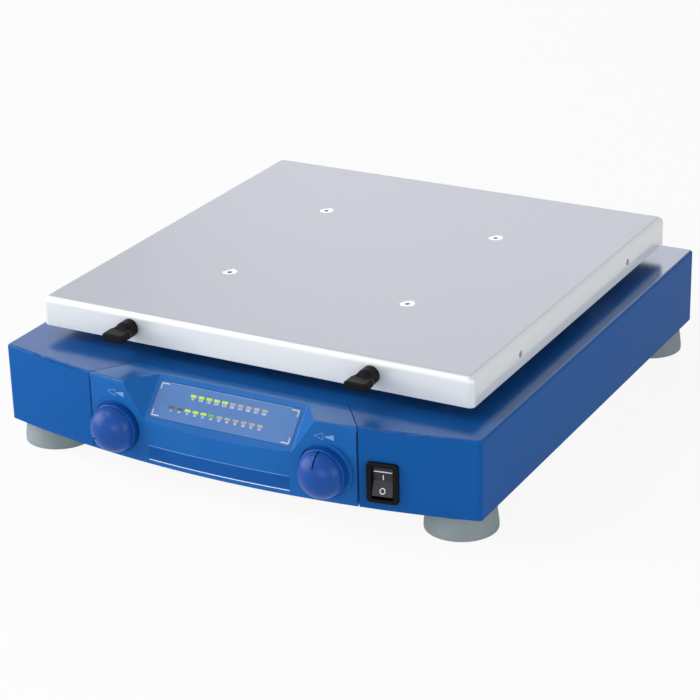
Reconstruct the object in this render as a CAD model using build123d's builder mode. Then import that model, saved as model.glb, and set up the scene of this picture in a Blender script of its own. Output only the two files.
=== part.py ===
from build123d import *

import os
from math import atan, cos, degrees, radians, sin, sqrt, tan

# An orbital shaker: a low cast housing with a bowed front and an inset control panel, four
# rubber feet, and a square tray that runs in a small circle without turning. The tray's
# carrier rides on one driven crank in the middle and four idler cranks near the corners.
# Frame: millimetres, +Z up, X to the right seen from the front, Y to the back, floor at z = 0,
# origin under the middle of the whole outline, knobs included.

# Driving dimensions of the housing
housing_width = 370.0
side_length = 378.0
front_bow = 23.0
housing_height = 57.0
wall = 4.0
roof = 4.0
corner_round = 3.0
edge_round = 2.2
foot_height = 18.0
foot_radius = 25.0
foot_neck_radius = 21.5
foot_neck_height = 2.2
foot_flare = 1.6
foot_front_setback = 22.0
plate_thickness = 3.0

# Driving dimensions of the tray
tray_inset = 17.0
tray_depth = 21.5
tray_sheet = 3.0
tray_bend = 4.5
tray_corner = 4.0
tray_gap = 9.5
top_screw_spacing = 143.6
side_hole_spacing = 188.5
side_hole_drop = 11.7
side_hole_radius = 2.5
thumb_screw_drop = 11.0

# Driving dimensions of the drive
orbit_radius = 5.0
drive_lead = 3.0
idler_inset = 53.0
idler_setback = 79.0
motor_inset = 85.0
big_pulley_radius = 55.0
small_pulley_radius = 14.0
pulley_width = 12.0
belt_width = 9.0
belt_back = 1.6
pedestal_height = 24.0
drive_bearing = dict(bore=8.5, outer=17.5, width=10.0)
pin_bearing = dict(bore=6.0, outer=14.0, width=8.0)
idler_bearing = dict(bore=4.0, outer=11.0, width=7.0)
bearing_floor = 2.0
collar_height = 3.0
hub_gap = 2.0
bearing_recess = 1.0
crank_head_height = 7.0
running_clearance = 0.04
moving_gap = 2.0

# Driving dimensions of the control panel
panel_margin = 2.8
panel_narrowing = 20.7
panel_reach = 27.0
panel_wall = 3.0
seam_gap = 0.6
recess_half_width = 58.0
recess_start = 25.5
recess_tilt = 46.7
recess_flare = 46.7
recess_cut_rise = 27.0
recess_cut_length = 80.0
label_width = 109.6
label_height = 26.4
label_thickness = 0.5
label_drop = 17.6
window_size = (4.6, 1.9)
window_room = 1.0
speed_windows = 10
time_windows = 12
speed_window_pitch = 6.17
time_window_pitch = 6.28
speed_row = (1.1, 10.9)
time_row = (-5.4, 21.7)

# Driving dimensions of knobs, switch and inlet
knob_z = 40.5
knob_radius = 17.2
knob_length = 18.0
knob_skirt = 5.2
knob_seat_gap = 0.3
knob_seat_room = 1.6
knob_seat_rim = 1.4
pointer_width = 1.3
pointer_depth = 1.2
pointer_start = 8.0
speed_pointer_turn = -120.0
time_pointer_turn = 0.0
shaft_radius = 3.0
switch_margin = 6.0
switch_z = 38.0
switch_frame = (22.0, 29.0)
switch_frame_height = 2.6
switch_opening = (14.8, 23.0)
switch_body_depth = 20.0
rocker_width = 14.0
rocker_reach = 11.2
rocker_tilt = 9.0
inlet_x = 120.0
inlet_z = 44.0
inlet_face = (31.0, 27.0)
inlet_mouth = (24.6, 17.0)
inlet_mouth_depth = 17.0
inlet_depth = 24.0
inlet_flange = 2.5

# Driving dimensions of hidden fittings
boss_radius = 5.5
base_screw_radius = 2.0
base_screw_reach = 18.0
base_screw_head = 2.4
screw_boss_inset = 10.5
base_screw_x = 60.0
base_screw_y = 70.0
crank_shoulder_radius = 8.0
idler_shoulder_radius = 5.5
hole_room = 2.5
collar_wall = 3.0
ledge_width = 150.0
ledge_depth = 14.0
ledge_drop = 3.0
recess_round = 4.0
knob_boss_depth = 8.0
bushing_radius = 3.6
bushing_length = 6.0
shaft_depth = 5.0
shaft_in_knob = 9.0
pot_size = 15.6
pot_depth = 9.0
board_thickness = 1.6
display_board_depth = 8.0
display_board_size = (106.0, 27.0)
board_post_radius = 2.5
board_post_inset = 4.0
control_board_top = 52.0
label_corner = 1.5
dome_radius = 16.7
dome_step = 0.5
quarter_turn = 90.0
switch_corner = 3.0
switch_body = (18.6, 25.6)
rocker_room = 16.0
rocker_pivot_depth = 4.0
rocker_proud = 1.6
rocker_dish = 1.0
rocker_root = -4.5
pivot_pin_radius = 1.4
pivot_pin_reach = 8.2
inlet_body = (28.0, 21.0)
inlet_bevel = 5.0
blade = (2.0, 4.0)
blade_length = 14.0
blade_spacing = 7.0
earth_rise = 4.0
tube_wall = 5.0

vent_x = 70.0
vent_pitch = 12.0
vent_count = 6
vent_length = 40.0
vent_width = 4.0
foot_sole = 6.0
foot_recess_radius = 9.0
foot_nut_height = 5.0
frame_round = 0.9
knob_seat_lip = 0.6
pedestal_flange = 4.0
drive_flange_radius = 36.0
idler_flange_radius = 22.0
bearing_lip = 3.0
race_wall = 1.8
seal_depth = 0.4
pulley_bore = 12.0
crank_head_radius = 14.0
pin_cap = 1.4
pin_cap_rim = 1.6
cap_room = 3.0
rim_wall = 6.0
web_sink = 4.0
web_holes = 6
web_hole_radius = 9.0
belt_ribs = 4
groove_width = 1.1
groove_depth = 1.2
counterweight_height = 10.0
counterweight_inset = 2.0
idler_web_radius = 10.0
idler_web = 6.0
bracket_size = (92.0, 84.0)
bracket_thickness = 3.0
bracket_slot = (12.0, 5.0)
bracket_slot_inset = 7.0
motor_radius = 34.0
motor_height = 19.0
motor_round = 2.0
motor_boss = 2.0
motor_boss_radius = 10.0
motor_shaft_radius = 4.0
pulley_cheek = 1.0
cheek_rise = 2.6
power_board_gap = 10.0
power_board_inset = 26.0
power_board_clearance = 23.0
pillar_height = 6.0
pillar_radius = 3.5
pillar_inset = 5.0
board_blocks = (
    (12.0, -26.0, 42.0, 36.0, 30.0),
    (14.0, 30.0, 50.0, 8.0, 26.0),
    (66.0, 40.0, 18.0, 26.0, 16.0),
)
capacitor_inset = 17.0
capacitor_y = (-34.0, -10.0)
capacitor_radius = 10.0
capacitor_height = 28.0
carrier_web = 4.0
carrier_arm = 34.0
carrier_rib = 6.0
carrier_rib_lift = 9.0
screw_pad_radius = 9.0
tray_screw_radius = 2.5
tray_screw_length = 14.0
screw_head_radius = 5.6
sink_depth = 2.6
screw_sink = 0.4
hex_radius = 1.9
hex_depth = 1.8
press_nut_radius = 4.6
press_nut_height = 5.0
thumb_gap = 0.3
hub_radius = 6.5
hub_length = 8.0
wing_blend = 5.0
wing_width = 17.0
wing_length = 9.5
wing_thickness = 6.0
wing_round = 2.2
shank_grip = 6.0
shank_reach = 10.0

# Small fits
slip = 0.3
fit = 0.05

# Places that follow from the sizes above
knob_seat_radius = knob_radius + knob_seat_room
knob_bay = 2 * (knob_seat_radius + knob_seat_rim + panel_margin)
panel_half_width = recess_half_width + knob_bay
panel_back_half_width = panel_half_width - panel_narrowing
knob_x = panel_half_width - knob_bay / 2
switch_x = panel_half_width + switch_margin + switch_frame[0] / 2
tray_size = housing_width - 2 * tray_inset
idler_x = tray_size / 2 - idler_inset
idler_y = side_length / 2 - idler_setback
motor_distance = housing_width / 2 - motor_inset
power_board = (
    housing_width / 2 - power_board_inset - big_pulley_radius - power_board_gap,
    2 * (idler_y - idler_flange_radius - power_board_clearance),
)
power_board_x = big_pulley_radius + power_board_gap + power_board[0] / 2
bow_radius = ((housing_width / 2) ** 2 + front_bow**2) / (2 * front_bow)
knob_drop = bow_radius - sqrt(bow_radius**2 - knob_x**2)
overall_depth = side_length + front_bow - knob_drop + knob_length + knob_seat_gap
back_y = overall_depth / 2
corner_y = back_y - side_length
crown_y = corner_y - front_bow
bow_centre_y = crown_y + bow_radius
drive_y = back_y - side_length / 2 - drive_lead
pin_y = drive_y + orbit_radius
deck_z = foot_height + plate_thickness
top_z = foot_height + housing_height
roof_z = top_z - roof
flange_z = top_z + tray_gap
tray_top_z = flange_z + tray_depth
carrier_top_z = tray_top_z - tray_sheet
hub_z = top_z + collar_height + hub_gap
bearing_top_z = hub_z + bearing_recess + pin_bearing["width"]
pin_cap_z = bearing_top_z + slip
pedestal_z = deck_z + pedestal_height
bearing_z = deck_z + bearing_floor
pulley_z = pedestal_z + moving_gap
web_z = pulley_z + pulley_width
head_z = web_z + crank_head_height
idler_points = [(x, drive_y + y) for y in (-idler_y, idler_y) for x in (-idler_x, idler_x)]
idler_pins = [(x, y + orbit_radius) for x, y in idler_points]
drive_axis = [(0, drive_y)]
drive_pin = [(0, pin_y)]
motor_axis = [(-motor_distance, drive_y)]
foot_points = [
    (side * (housing_width / 2 - foot_radius), y)
    for y in (corner_y + foot_front_setback, back_y - foot_radius)
    for side in (-1, 1)
]
top_screw_points = [
    (x * top_screw_spacing / 2, pin_y + y * top_screw_spacing / 2) for y in (-1, 1) for x in (-1, 1)
]
side_hole_z = tray_top_z - side_hole_drop
thumb_screw_z = tray_top_z - thumb_screw_drop
tray_half = tray_size / 2
knob_seat_y = crown_y + knob_drop

drive_hole_radius = orbit_radius + crank_shoulder_radius + hole_room
idler_hole_radius = orbit_radius + idler_shoulder_radius + hole_room
base_screw_points = [
    (side * (housing_width / 2 - screw_boss_inset), drive_y + y)
    for y in (-base_screw_y, base_screw_y)
    for side in (-1, 1)
] + [(side * base_screw_x, back_y - screw_boss_inset) for side in (-1, 1)]

belt_z = pulley_z + (pulley_width - belt_width) / 2
pot_y = knob_seat_y + knob_boss_depth
control_board_y = pot_y + pot_depth
seam_lean = atan((panel_half_width - panel_back_half_width) / panel_reach)
window_rows = (
    (speed_row, speed_windows, speed_window_pitch),
    (time_row, time_windows, time_window_pitch),
)

STANDING = (Align.CENTER, Align.CENTER, Align.MIN)


def front_y(x, inset=0.0):
    """Y of the bowed front at a given x, moved inwards by inset."""
    return bow_centre_y - sqrt((bow_radius - inset) ** 2 - x**2)


def columns(points, radius, bottom, top, mode=Mode.ADD):
    """Upright cylinders at some plan points, between two heights."""
    with Locations(*[(x, y, bottom) for x, y in points]):
        Cylinder(radius, top - bottom, align=STANDING, mode=mode)


def block(x, y, width, depth, bottom, top, mode=Mode.ADD):
    """An upright block centred on a plan point, between two heights."""
    with Locations((x, y, bottom)):
        Box(width, depth, top - bottom, align=STANDING, mode=mode)


def rod(x, y_front, z, radius, length, mode=Mode.ADD):
    """A cylinder along +Y that starts at y_front."""
    with Locations(Location((x, y_front, z), (-90, 0, 0))):
        Cylinder(radius, length, align=STANDING, mode=mode)


def housing_plan(inset):
    """The housing's outline from above, moved inwards by inset."""
    half = housing_width / 2 - inset
    front, back = front_y(half, inset), back_y - inset
    with BuildSketch() as plan:
        with BuildLine():
            Polyline((-half, front), (-half, back), (half, back), (half, front))
            ThreePointArc((half, front), (0, crown_y + inset), (-half, front))
        make_face()
    return plan.sketch


def panel_plan(grow):
    """The control panel's seam from above, open at the front, moved outwards by grow."""
    shoulder_y = front_y(panel_half_width)
    ahead_y = crown_y - panel_reach
    with BuildSketch() as plan:
        with BuildLine():
            Polyline(
                (-panel_half_width, ahead_y),
                (-panel_half_width, shoulder_y),
                (-panel_back_half_width, shoulder_y + panel_reach),
                (panel_back_half_width, shoulder_y + panel_reach),
                (panel_half_width, shoulder_y),
                (panel_half_width, ahead_y),
                close=True,
            )
        make_face()
        if grow:
            offset(amount=grow, kind=Kind.INTERSECTION)
    return plan.sketch


def recess(grow):
    """The display recess: a sloping floor between two flared walls, grown by a wall."""
    flare = radians(recess_flare)
    half_low = recess_half_width + grow / cos(flare) - grow * tan(flare)
    half_high = half_low + recess_cut_rise * tan(flare)
    floor = Plane(floor_plane.origin, x_dir=floor_plane.x_dir, z_dir=floor_plane.z_dir).offset(-grow)
    with BuildPart() as hollow:
        for plane, half in ((floor, half_low), (floor.offset(recess_cut_rise), half_high)):
            with BuildSketch(plane):
                Rectangle(2 * half, recess_cut_length, align=(Align.CENTER, Align.MAX))
        loft()
    return hollow.part


def is_floor_corner(edge):
    """Whether an edge is a corner between the recess floor and one of its side walls."""
    on_floor = abs(floor_plane.to_local_coords(edge.center()).Z) < fit
    return on_floor and abs(abs(edge.center().X) - recess_half_width) < fit


tilt = radians(recess_tilt)
panel_back_y = front_y(panel_half_width) + panel_reach
floor_plane = Plane(
    origin=(0, crown_y + recess_start, top_z), x_dir=(1, 0, 0), z_dir=(0, -sin(tilt), cos(tilt))
)

switch_turn = degrees(atan(switch_x / (bow_centre_y - front_y(switch_x))))
switch_normal = Vector(0, -1, 0).rotate(Axis.Z, switch_turn)
switch_plane = Plane(
    origin=(switch_x, front_y(switch_x), switch_z),
    x_dir=Vector(1, 0, 0).rotate(Axis.Z, switch_turn),
    z_dir=switch_normal,
)

os.makedirs("parts", exist_ok=True)

# Outer form shared by the housing and the control panel set into it
with BuildPart() as hood:
    with BuildSketch(Plane.XY.offset(foot_height)):
        add(housing_plan(0))
    extrude(amount=housing_height)
    fillet(hood.edges().filter_by(Axis.Z), corner_round)
    fillet(hood.faces().sort_by(Axis.Z)[-1].edges(), edge_round)

# Cast housing: roof and four walls in one piece, open below, with a collar round each crank hole
with BuildPart() as housing:
    add(hood.part)
    with BuildSketch(Plane.XY.offset(foot_height)):
        add(housing_plan(wall))
    extrude(amount=housing_height - roof, mode=Mode.SUBTRACT)
    columns(base_screw_points, boss_radius, deck_z, roof_z + 1)
    columns(base_screw_points, base_screw_radius + fit, deck_z, deck_z + base_screw_reach, Mode.SUBTRACT)
    for points, hole_radius in ((drive_axis, drive_hole_radius), (idler_points, idler_hole_radius)):
        columns(points, hole_radius + collar_wall, roof_z, top_z + collar_height)
        columns(points, hole_radius, roof_z - 1, top_z + collar_height + 1, Mode.SUBTRACT)
    with BuildSketch(Plane.XY.offset(foot_height - 1)):
        add(panel_plan(seam_gap))
    extrude(amount=housing_height + roof, mode=Mode.SUBTRACT)
    block(0, panel_back_y, ledge_width, ledge_depth, roof_z - ledge_drop, top_z - panel_wall - slip)
    block(inlet_x, back_y, inlet_face[0] + 2 * slip, 2 * inlet_flange,
          inlet_z - inlet_face[1] / 2 - slip, inlet_z + inlet_face[1] / 2 + slip, Mode.SUBTRACT)
    block(inlet_x, back_y, inlet_body[0] + 2 * slip, 4 * wall,
          inlet_z - inlet_body[1] / 2 - slip, inlet_z + inlet_body[1] / 2 + slip, Mode.SUBTRACT)
    with BuildSketch(switch_plane.offset(-3 * wall)):
        Rectangle(switch_body[0] + 2 * slip, switch_body[1] + 2 * slip)
    extrude(amount=5 * wall, mode=Mode.SUBTRACT)
housing.part.label = "housing"
export_step(housing.part, "parts/housing.step")

# Control panel: a moulding that takes up the middle of the front and laps over the top edge
with BuildPart() as panel_void:
    with BuildSketch(Plane.XY.offset(foot_height - 1)):
        add(housing_plan(panel_wall))
        add(panel_plan(-panel_wall), mode=Mode.INTERSECT)
    extrude(amount=housing_height - panel_wall + 1)
    block(0, panel_back_y, 2 * (panel_back_half_width - panel_wall), 4 * panel_wall,
          foot_height - 1, top_z - panel_wall)
    add(recess(panel_wall), mode=Mode.SUBTRACT)
with BuildPart() as control_panel:
    add(hood.part)
    with BuildSketch(Plane.XY.offset(foot_height)):
        add(panel_plan(0))
    extrude(amount=housing_height, mode=Mode.INTERSECT)
    add(recess(0), mode=Mode.SUBTRACT)
    fillet([edge for edge in control_panel.edges().filter_by(GeomType.LINE) if is_floor_corner(edge)],
           recess_round)
    add(panel_void.part, mode=Mode.SUBTRACT)
    with BuildSketch(floor_plane.offset(-display_board_depth)):
        with Locations((0, -label_drop)):
            with GridLocations(display_board_size[0] - 2 * board_post_inset,
                               display_board_size[1] - 2 * board_post_inset, 2, 2):
                Circle(board_post_radius)
    extrude(amount=display_board_depth - panel_wall / 2)
    for x in (-knob_x, knob_x):
        rod(x, knob_seat_y - knob_seat_lip, knob_z, knob_seat_radius + knob_seat_rim,
            knob_boss_depth + knob_seat_lip)
        rod(x, knob_seat_y - knob_length, knob_z, knob_seat_radius, knob_length, Mode.SUBTRACT)
        rod(x, knob_seat_y - knob_length, knob_z, bushing_radius + slip, 2 * knob_length, Mode.SUBTRACT)
    with BuildSketch(Plane.XY.offset(foot_height)):
        add(housing_plan(wall))
    extrude(amount=plate_thickness + slip, mode=Mode.SUBTRACT)
    with BuildSketch(floor_plane.offset(-label_thickness + fit)):
        with Locations((0, -label_drop)):
            RectangleRounded(label_width + 2 * slip, label_height + 2 * slip, label_corner)
    extrude(amount=2 * label_thickness, mode=Mode.SUBTRACT)
    with BuildSketch(floor_plane.offset(-2 * panel_wall)):
        for (x, drop), count, pitch in window_rows:
            with Locations((x, -drop)):
                Rectangle(count * pitch, window_size[1] + 2 * window_room)
    extrude(amount=2 * panel_wall, mode=Mode.SUBTRACT)
control_panel.part.label = "control_panel"
export_step(control_panel.part, "parts/control_panel.step")

# Display: printed label in its pocket, a row of light guides behind it, and their board
with BuildPart() as display_label:
    with BuildSketch(floor_plane.offset(-label_thickness + fit)):
        with Locations((0, -label_drop)):
            RectangleRounded(label_width, label_height, label_corner)
    extrude(amount=label_thickness)
display_label.part.label = "display_label"
export_step(display_label.part, "parts/display_label.step")

with BuildPart() as light_guides:
    with BuildSketch(floor_plane.offset(-display_board_depth)):
        for (x, drop), count, pitch in window_rows:
            with Locations((x, -drop)):
                with GridLocations(pitch, 1, count, 1):
                    Rectangle(*window_size)
    extrude(amount=display_board_depth - label_thickness)
light_guides.part.label = "light_guides"
export_step(light_guides.part, "parts/light_guides.step")

with BuildPart() as display_board:
    with BuildSketch(floor_plane.offset(-display_board_depth - board_thickness)):
        with Locations((0, -label_drop)):
            Rectangle(*display_board_size)
    extrude(amount=board_thickness)
display_board.part.label = "display_board"
export_step(display_board.part, "parts/display_board.step")

# Control board that stands behind the panel and carries both potentiometers
board_back_y = control_board_y + board_thickness
board_half = panel_half_width - (board_back_y - front_y(panel_half_width)) * tan(seam_lean)
board_half -= panel_wall / cos(seam_lean) + slip
with BuildPart() as control_board:
    block(0, control_board_y + board_thickness / 2, 2 * board_half, board_thickness,
          deck_z + slip, control_board_top)
control_board.part.label = "control_board"
export_step(control_board.part, "parts/control_board.step")

# Each knob with its shaft, and the potentiometer that the shaft turns in
knob_back = knob_seat_y - knob_seat_gap
dome_base = knob_skirt + dome_step
for name, x, turn in (("speed", -knob_x, speed_pointer_turn), ("time", knob_x, time_pointer_turn)):
    with BuildPart() as potentiometer:
        with Locations((x, pot_y + pot_depth / 2, knob_z)):
            Box(pot_size, pot_depth, pot_size)
        rod(x, pot_y - bushing_length, knob_z, bushing_radius, bushing_length)
        rod(x, pot_y - bushing_length, knob_z, shaft_radius + fit, bushing_length + shaft_depth,
            Mode.SUBTRACT)
    potentiometer.part.label = name + "_potentiometer"
    export_step(potentiometer.part, "parts/" + name + "_potentiometer.step")

    with BuildPart() as shaft:
        rod(x, knob_back - shaft_in_knob, knob_z, shaft_radius,
            shaft_in_knob + knob_seat_gap + knob_boss_depth + shaft_depth)
    shaft.part.label = name + "_shaft"
    export_step(shaft.part, "parts/" + name + "_shaft.step")

    # A short skirt under an elliptical dome, with a pointer slot down one side
    centre = (x, knob_back, knob_z)
    with BuildPart() as knob:
        with BuildSketch(Plane(origin=centre, x_dir=(1, 0, 0), z_dir=(0, 0, -1))):
            with BuildLine():
                Polyline((0, knob_length), (0, 0), (knob_radius, 0), (knob_radius, knob_skirt),
                         (dome_radius, dome_base))
                EllipticalCenterArc((0, dome_base), dome_radius, knob_length - dome_base, 0, arc_size=quarter_turn)
            make_face()
        revolve(axis=Axis(centre, (0, -1, 0)))
        with BuildSketch(Plane(origin=centre, x_dir=(0, 0, 1), z_dir=(1, 0, 0))):
            with Locations((0, dome_base)):
                Ellipse(dome_radius + 1, knob_length - dome_base + 1)
                Ellipse(dome_radius - pointer_depth, knob_length - dome_base - pointer_depth,
                        mode=Mode.SUBTRACT)
            with Locations((pointer_start, dome_base)):
                Rectangle(knob_radius, knob_length, align=(Align.MIN, Align.MIN), mode=Mode.INTERSECT)
        extrude(amount=pointer_width / 2, both=True, mode=Mode.SUBTRACT)
        rod(x, knob_back - shaft_in_knob - fit, knob_z, shaft_radius + fit, shaft_in_knob + 1, Mode.SUBTRACT)
    turned_knob = knob.part.rotate(Axis(centre, (0, 1, 0)), turn)
    turned_knob.label = name + "_knob"
    export_step(turned_knob, "parts/" + name + "_knob.step")

# Mains switch: a framed body in the front wall, and a rocker on its own pins, pressed in at the top
pivot_plane = switch_plane.offset(-rocker_pivot_depth)
side_plane = Plane(origin=pivot_plane.origin, x_dir=switch_plane.y_dir, z_dir=switch_plane.x_dir)
with BuildPart() as switch_shell:
    with BuildSketch(switch_plane):
        RectangleRounded(*switch_frame, switch_corner)
    extrude(amount=switch_frame_height)
    fillet(switch_shell.faces().sort_by(Axis(switch_plane.origin, switch_normal))[-1].edges(), frame_round)
    with BuildSketch(switch_plane.offset(-switch_body_depth)):
        Rectangle(*switch_body)
    extrude(amount=switch_body_depth)
    with BuildSketch(switch_plane.offset(-rocker_room)):
        Rectangle(*switch_opening)
    extrude(amount=rocker_room + switch_frame_height, mode=Mode.SUBTRACT)
    with BuildSketch(side_plane):
        Circle(pivot_pin_radius + fit)
    extrude(amount=pivot_pin_reach + fit, both=True, mode=Mode.SUBTRACT)
switch_shell.part.label = "switch_body"
export_step(switch_shell.part, "parts/switch_body.step")

face_low = rocker_pivot_depth - rocker_dish
face_high = 2 * (rocker_pivot_depth + rocker_proud) - face_low
with BuildPart() as rocker:
    with BuildSketch(side_plane):
        Circle(rocker_reach)
        with BuildLine():
            Polyline(
                (-2 * rocker_reach, face_high),
                (0, face_low),
                (2 * rocker_reach, face_high),
                (2 * rocker_reach, rocker_root),
                (-2 * rocker_reach, rocker_root),
                close=True,
            )
        make_face(mode=Mode.INTERSECT)
    extrude(amount=rocker_width / 2, both=True)
    with BuildSketch(side_plane):
        Circle(pivot_pin_radius)
    extrude(amount=pivot_pin_reach, both=True)
pressed_rocker = rocker.part.rotate(Axis(pivot_plane.origin, switch_plane.x_dir), -rocker_tilt)
pressed_rocker.label = "power_rocker"
export_step(pressed_rocker, "parts/power_rocker.step")

# Mains inlet in the back wall, and its three blades
inlet_plane = Plane(origin=(inlet_x, back_y - inlet_mouth_depth, inlet_z), x_dir=(-1, 0, 0), z_dir=(0, 1, 0))
mouth_x, mouth_y = inlet_mouth[0] / 2, inlet_mouth[1] / 2
with BuildPart() as power_inlet:
    block(inlet_x, back_y - inlet_flange / 2, inlet_face[0], inlet_flange,
          inlet_z - inlet_face[1] / 2, inlet_z + inlet_face[1] / 2)
    block(inlet_x, back_y - inlet_depth / 2, inlet_body[0], inlet_depth,
          inlet_z - inlet_body[1] / 2, inlet_z + inlet_body[1] / 2)
    with BuildSketch(inlet_plane):
        with BuildLine():
            Polyline((-mouth_x, -mouth_y), (mouth_x, -mouth_y), (mouth_x, mouth_y - inlet_bevel),
                     (mouth_x - inlet_bevel, mouth_y), (inlet_bevel - mouth_x, mouth_y),
                     (-mouth_x, mouth_y - inlet_bevel), close=True)
        make_face()
    extrude(amount=inlet_mouth_depth, mode=Mode.SUBTRACT)
power_inlet.part.label = "power_inlet"
export_step(power_inlet.part, "parts/power_inlet.step")

with BuildPart() as inlet_blades:
    with BuildSketch(inlet_plane):
        with Locations((-blade_spacing, -blade[1] / 2), (blade_spacing, -blade[1] / 2),
                       (0, earth_rise - blade[1] / 2)):
            Rectangle(*blade)
    extrude(amount=blade_length)
inlet_blades.part.label = "inlet_blades"
export_step(inlet_blades.part, "parts/inlet_blades.step")

# Base plate inside the walls, its screws, and the feet bolted under it
with BuildPart() as base_plate:
    with BuildSketch(Plane.XY.offset(foot_height)):
        add(housing_plan(wall + slip))
    extrude(amount=plate_thickness)
    columns(base_screw_points + foot_points, base_screw_radius + fit, foot_height, deck_z, Mode.SUBTRACT)
    with BuildSketch(Plane.XY.offset(foot_height)):
        for x in (-vent_x, vent_x):
            with Locations((x, drive_y)):
                with GridLocations(1, vent_pitch, 1, vent_count):
                    SlotOverall(vent_length, vent_width)
    extrude(amount=plate_thickness, mode=Mode.SUBTRACT)
base_plate.part.label = "base_plate"
export_step(base_plate.part, "parts/base_plate.step")

with BuildPart() as base_screws:
    columns(base_screw_points, base_screw_radius, foot_height, deck_z + base_screw_reach - slip)
    columns(base_screw_points, 2 * base_screw_radius, foot_height - base_screw_head, foot_height)
base_screws.part.label = "base_screws"
export_step(base_screws.part, "parts/base_screws.step")

neck_z = foot_height - foot_neck_height
for number, (x, y) in enumerate(foot_points, 1):
    with BuildPart() as foot:
        with BuildSketch(Plane.XZ.offset(-y)):
            with BuildLine():
                Polyline(
                    (x, foot_sole), (x + foot_recess_radius, foot_sole), (x + foot_recess_radius, 0),
                    (x + foot_radius, 0), (x + foot_radius, foot_sole / 2),
                    (x + foot_radius - foot_flare, neck_z), (x + foot_neck_radius, neck_z),
                    (x + foot_neck_radius, foot_height), (x, foot_height), close=True,
                )
            make_face()
        revolve(axis=Axis((x, y, 0), (0, 0, 1)))
        columns([(x, y)], base_screw_radius + fit, 0, foot_height, Mode.SUBTRACT)
    foot.part.label = "foot_" + str(number)
    export_step(foot.part, "parts/foot_" + str(number) + ".step")

with BuildPart() as foot_screws:
    columns(foot_points, base_screw_radius, foot_sole, deck_z + foot_nut_height)
    columns(foot_points, 2 * base_screw_radius, foot_sole - base_screw_head, foot_sole)
foot_screws.part.label = "foot_screws"
export_step(foot_screws.part, "parts/foot_screws.step")

with BuildPart() as foot_nuts:
    with BuildSketch(Plane.XY.offset(deck_z)):
        with Locations(*foot_points):
            RegularPolygon(2 * base_screw_radius, 6)
            Circle(base_screw_radius + fit, mode=Mode.SUBTRACT)
    extrude(amount=foot_nut_height - slip)
foot_nuts.part.label = "foot_nuts"
export_step(foot_nuts.part, "parts/foot_nuts.step")


def pedestal(points, bearing, tube_wall, flange_radius):
    """Flanged tubes that hold bearings of one size above the base plate."""
    columns(points, flange_radius, deck_z, deck_z + pedestal_flange)
    columns(points, bearing["outer"] + tube_wall, deck_z, pedestal_z)
    columns(points, bearing["outer"] - bearing_lip, deck_z, pedestal_z, Mode.SUBTRACT)
    columns(points, bearing["outer"], bearing_z, pedestal_z, Mode.SUBTRACT)


def bearings(points, bearing, bottom):
    """Sealed bearings: a ring with the gap between its races sunk in both faces."""
    columns(points, bearing["outer"], bottom, bottom + bearing["width"])
    seal_outer = bearing["outer"] - race_wall
    seal_inner = bearing["bore"] + race_wall
    for low in (bottom, bottom + bearing["width"] - seal_depth):
        with BuildPart(mode=Mode.PRIVATE) as seal:
            columns(points, seal_outer, low, low + seal_depth)
            columns(points, seal_inner, low, low + seal_depth, Mode.SUBTRACT)
        add(seal.part, mode=Mode.SUBTRACT)
    columns(points, bearing["bore"] + running_clearance, bottom, bottom + bearing["width"], Mode.SUBTRACT)


# Bearing pedestals on the base plate, one in the middle and four near the corners
with BuildPart() as drive_pedestal:
    pedestal(drive_axis, drive_bearing, tube_wall, drive_flange_radius)
drive_pedestal.part.label = "drive_pedestal"
export_step(drive_pedestal.part, "parts/drive_pedestal.step")

with BuildPart() as idler_pedestals:
    pedestal(idler_points, idler_bearing, tube_wall, idler_flange_radius)
idler_pedestals.part.label = "idler_pedestals"
export_step(idler_pedestals.part, "parts/idler_pedestals.step")

with BuildPart() as drive_bearings:
    bearings(drive_axis, drive_bearing, bearing_z)
    bearings(drive_axis, drive_bearing, pedestal_z - drive_bearing["width"])
drive_bearings.part.label = "drive_bearings"
export_step(drive_bearings.part, "parts/drive_bearings.step")

with BuildPart() as idler_bearings:
    bearings(idler_points, idler_bearing, bearing_z)
    bearings(idler_points, idler_bearing, pedestal_z - idler_bearing["width"])
idler_bearings.part.label = "idler_bearings"
export_step(idler_bearings.part, "parts/idler_bearings.step")

# Driven crank: journal, pulley seat, head and the eccentric pin that carries the tray
with BuildPart() as crankshaft:
    columns(drive_axis, drive_bearing["bore"], deck_z + slip, pulley_z)
    columns(drive_axis, pulley_bore, pulley_z, web_z)
    columns(drive_axis, crank_head_radius, web_z, head_z)
    columns(drive_pin, crank_shoulder_radius, head_z, bearing_top_z - pin_bearing["width"])
    columns(drive_pin, pin_bearing["bore"], head_z, pin_cap_z)
    columns(drive_pin, pin_bearing["bore"] + pin_cap_rim, pin_cap_z, pin_cap_z + pin_cap)
crankshaft.part.label = "crankshaft"
export_step(crankshaft.part, "parts/crankshaft.step")

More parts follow.
